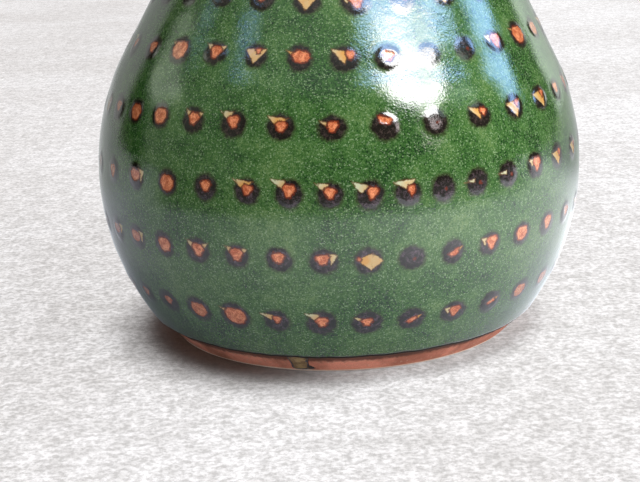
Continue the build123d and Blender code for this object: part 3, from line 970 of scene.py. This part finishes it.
# %% The room around the table
world = bpy.data.worlds.new("room")
bpy.context.scene.world = world
world.use_nodes = True
w = Graph(world.node_tree)
toward = w.node("ShaderNodeTexCoord").outputs["Generated"]
to_right, to_back, to_top = w.split(toward)
right_side = w.step(to_right, -0.1, 0.1)
room = w.mix(w.step(to_top, 0.55, 0.80), (0.10, 0.095, 0.075, 1), (0.55, 0.60, 0.58, 1))
veil = w.math("MULTIPLY", w.step(to_right, -0.50, -0.80), w.step(to_back, 0.45, 0.30))
veil = w.math("MULTIPLY", veil, w.step(w.noise(toward, 0.004, 3.0, 0.6, 0.2), 0.35, 0.62, 0.35, 1.0))
room = w.mix(veil, room, (0.34, 0.37, 0.31, 1))
deep = w.step(to_back, 0.60, 0.95)
left_wall = w.mix(deep, (0.68, 0.69, 0.66, 1), (0.44, 0.45, 0.44, 1))
right_wall = w.mix(deep, (2.10, 2.35, 2.15, 1), (0.74, 0.76, 0.75, 1))
behind = w.step(w.math("MULTIPLY_ADD", right_side, -0.05, to_back), 0.575, 0.615)
room = w.mix(behind, room, w.mix(right_side, left_wall, right_wall))
ambient = w.mix(w.step(to_right, -0.45, 0.9), (0.15, 0.16, 0.17, 1), (2.60, 2.57, 2.55, 1))
rear = w.math("MULTIPLY", w.step(to_back, -0.8, 0.8), 0.20)
ambient = w.mix(rear, ambient, (1.45, 1.45, 1.46, 1))
ray = w.node("ShaderNodeLightPath")
colour = w.mix(ray.outputs["Is Camera Ray"], ambient, (0.80, 0.79, 0.79, 1))
colour = w.mix(ray.outputs["Is Glossy Ray"], colour, room)
w.feed(world.node_tree.nodes["Background"].inputs["Color"], colour)
print("room nodes:", len(world.node_tree.nodes))


# %% The window's light
def toward_dir(azimuth, elevation):
    """A direction from the pot: azimuth 0 is in front, positive to the right."""
    az, el = radians(azimuth), radians(elevation)
    return Vector((sin(az) * cos(el), -cos(az) * cos(el), sin(el)))


WINDOW_AT, WINDOW_AWAY, WINDOW_TWIST = (50, 36), 1.5, 12
window = bpy.data.lights.new("window", "AREA")
window.shape, window.size, window.size_y = "RECTANGLE", 0.50, 0.62
window.energy, window.color = 9.0, (1.0, 0.985, 0.97)
lamp = bpy.data.objects.new("window", window)
bpy.context.scene.collection.objects.link(lamp)
way = toward_dir(*WINDOW_AT)
lamp.location = way * WINDOW_AWAY + Vector((0, 0, 0.04))
lamp.rotation_mode = "QUATERNION"
facing = way.to_track_quat("Z", "Y").to_matrix() @ Matrix.Rotation(radians(WINDOW_TWIST), 3, "Z")
lamp.rotation_quaternion = facing.to_quaternion()
lamp.visible_glossy = False  # the cards below are what the glaze mirrors of it


# %% Cards that only the glaze sees: panes, sky, and the dark doorway on the left
def reflected_card(name, radiance, corners, distance=1.4):
    """A bright shape that only mirror-like surfaces see; corners are azimuth and elevation from the pot."""
    mesh = bpy.data.meshes.new(name)
    spots = [toward_dir(*corner) * distance + Vector((0, 0, 0.05)) for corner in corners]
    middle = sum(spots, Vector()) / len(spots)
    fan = [(0, i + 1, (i + 1) % len(spots) + 1) for i in range(len(spots))]
    mesh.from_pydata([middle, *spots], [], fan)
    shine = bpy.data.materials.new(name)
    shine.use_nodes = True
    c = Graph(shine.node_tree)
    glow = c.node("ShaderNodeEmission")
    glow.inputs["Color"].default_value = (*radiance, 1)
    cloudy = c.step(c.noise(c.position(), 0.004, 3.0, 0.6, 0.5), 0.30, 0.62, 0.55, 1.15)
    c.feed(glow.inputs["Strength"], cloudy)
    c.feed(shine.node_tree.nodes["Material Output"].inputs["Surface"], glow.outputs[0])
    mesh.materials.append(shine)
    made = bpy.data.objects.new(name, mesh)
    bpy.context.scene.collection.objects.link(made)
    for kind in ("camera", "diffuse", "transmission", "volume_scatter", "shadow"):
        setattr(made, "visible_" + kind, False)
    print("card:", name, "corners:", len(corners))


PANE_TOP = [(23, 47.3), (26, 47.2), (33, 46.3), (40, 44.9), (50, 42.5), (59.5, 40.0)]
PANE_REST = [(64, 38.4), (63, 36.5), (59, 33.6), (55, 28.6), (48, 27.6), (40, 29.2), (33, 32), (29, 38)]
SKY_REST = [(66, 38.0), (77, 34.5), (82, 38), (76, 50), (60, 60), (26, 66)]
SKY_SIDE = [(88, 35), (90, 27), (91, 22), (91, 13), (97, 11), (101, 20), (106, 25), (110, 32), (100, 36)]
FAR_PANE = [(-70, 42.4), (-64, 44.0), (-57, 45.0), (-54, 45.0), (-63, 43.2), (-68, 42.4)]
FAR_PANE_LOW = [(-101, 33.2), (-95, 36.0), (-89.5, 37.6), (-89.5, 36.9), (-95, 34.8)]
DOORWAY_OUT = [(-126, 22), (-117, 21), (-111, 18), (-105, 14), (-103, 9), (-101, 3), (-104, -5)]
DOORWAY_BACK = [(-111, -5), (-118, 4), (-121, 10), (-124, 16)]
LEFT_WALL_LOW = [(-111, 14.5), (-113, 19.5), (-118, 22.5)]
LEFT_WALL_HIGH = [(-112, 29), (-100, 31), (-90, 28), (-86, 22), (-95, 19), (-103, 14)]
reflected_card("pane", (26, 26, 26), PANE_TOP + PANE_REST + [(28, 45.6), (24.5, 46.6)])
reflected_card("pane_low", (7, 6, 6), [(42, 25), (50, 24), (49, 15), (42, 14)])
reflected_card("sky_high", (6.0, 9.2, 14.5), [(16, 50), (18, 47.8)] + PANE_TOP + SKY_REST)
reflected_card("sky_side", (3.6, 6.2, 10.5), SKY_SIDE)
reflected_card("curtain", (1.6, 2.2, 1.9), [(60, 35), (76, 31), (78, 24), (60, 25)])
reflected_card("far_pane", (4.5, 7.5, 15.0), FAR_PANE)
reflected_card("far_pane_low", (3.5, 6.0, 7.5), FAR_PANE_LOW)
reflected_card("doorway", (0.0, 0.0, 0.0), DOORWAY_OUT + DOORWAY_BACK)
reflected_card("left_wall", (1.50, 1.65, 1.40), LEFT_WALL_LOW + LEFT_WALL_HIGH, 1.5)

# %% [markdown]
# ## The camera
#
# A hand-held view from a little above, so close that the neck is out of sight. A long lens keeps the ball
# round.

# %% Place the camera
PITCH, YAW, ROLL = radians(14.88), radians(-0.55), radians(-2.33)
EYE = (-0.00157, -0.2546, 0.0825)
ahead = Vector((sin(YAW) * cos(PITCH), cos(YAW) * cos(PITCH), -sin(PITCH)))
right = ahead.cross(Vector((0, 0, 1))).normalized()
above = right.cross(ahead)
across = right * cos(ROLL) + above * sin(ROLL)
upward = above * cos(ROLL) - right * sin(ROLL)
lens = bpy.data.cameras.new("view")
lens.lens, lens.sensor_width = 78.75, 36.0
lens.clip_start, lens.clip_end = 0.01, 20.0
camera = bpy.data.objects.new("view", lens)
bpy.context.scene.collection.objects.link(camera)
turned = Matrix((across, upward, -ahead)).transposed().to_4x4()
camera.matrix_world = Matrix.Translation(EYE) @ turned
bpy.context.scene.camera = camera
bpy.context.scene.view_settings.view_transform = "Standard"
print("camera distance from the pot in mm:", round(Vector(EYE).length * 1000, 1))
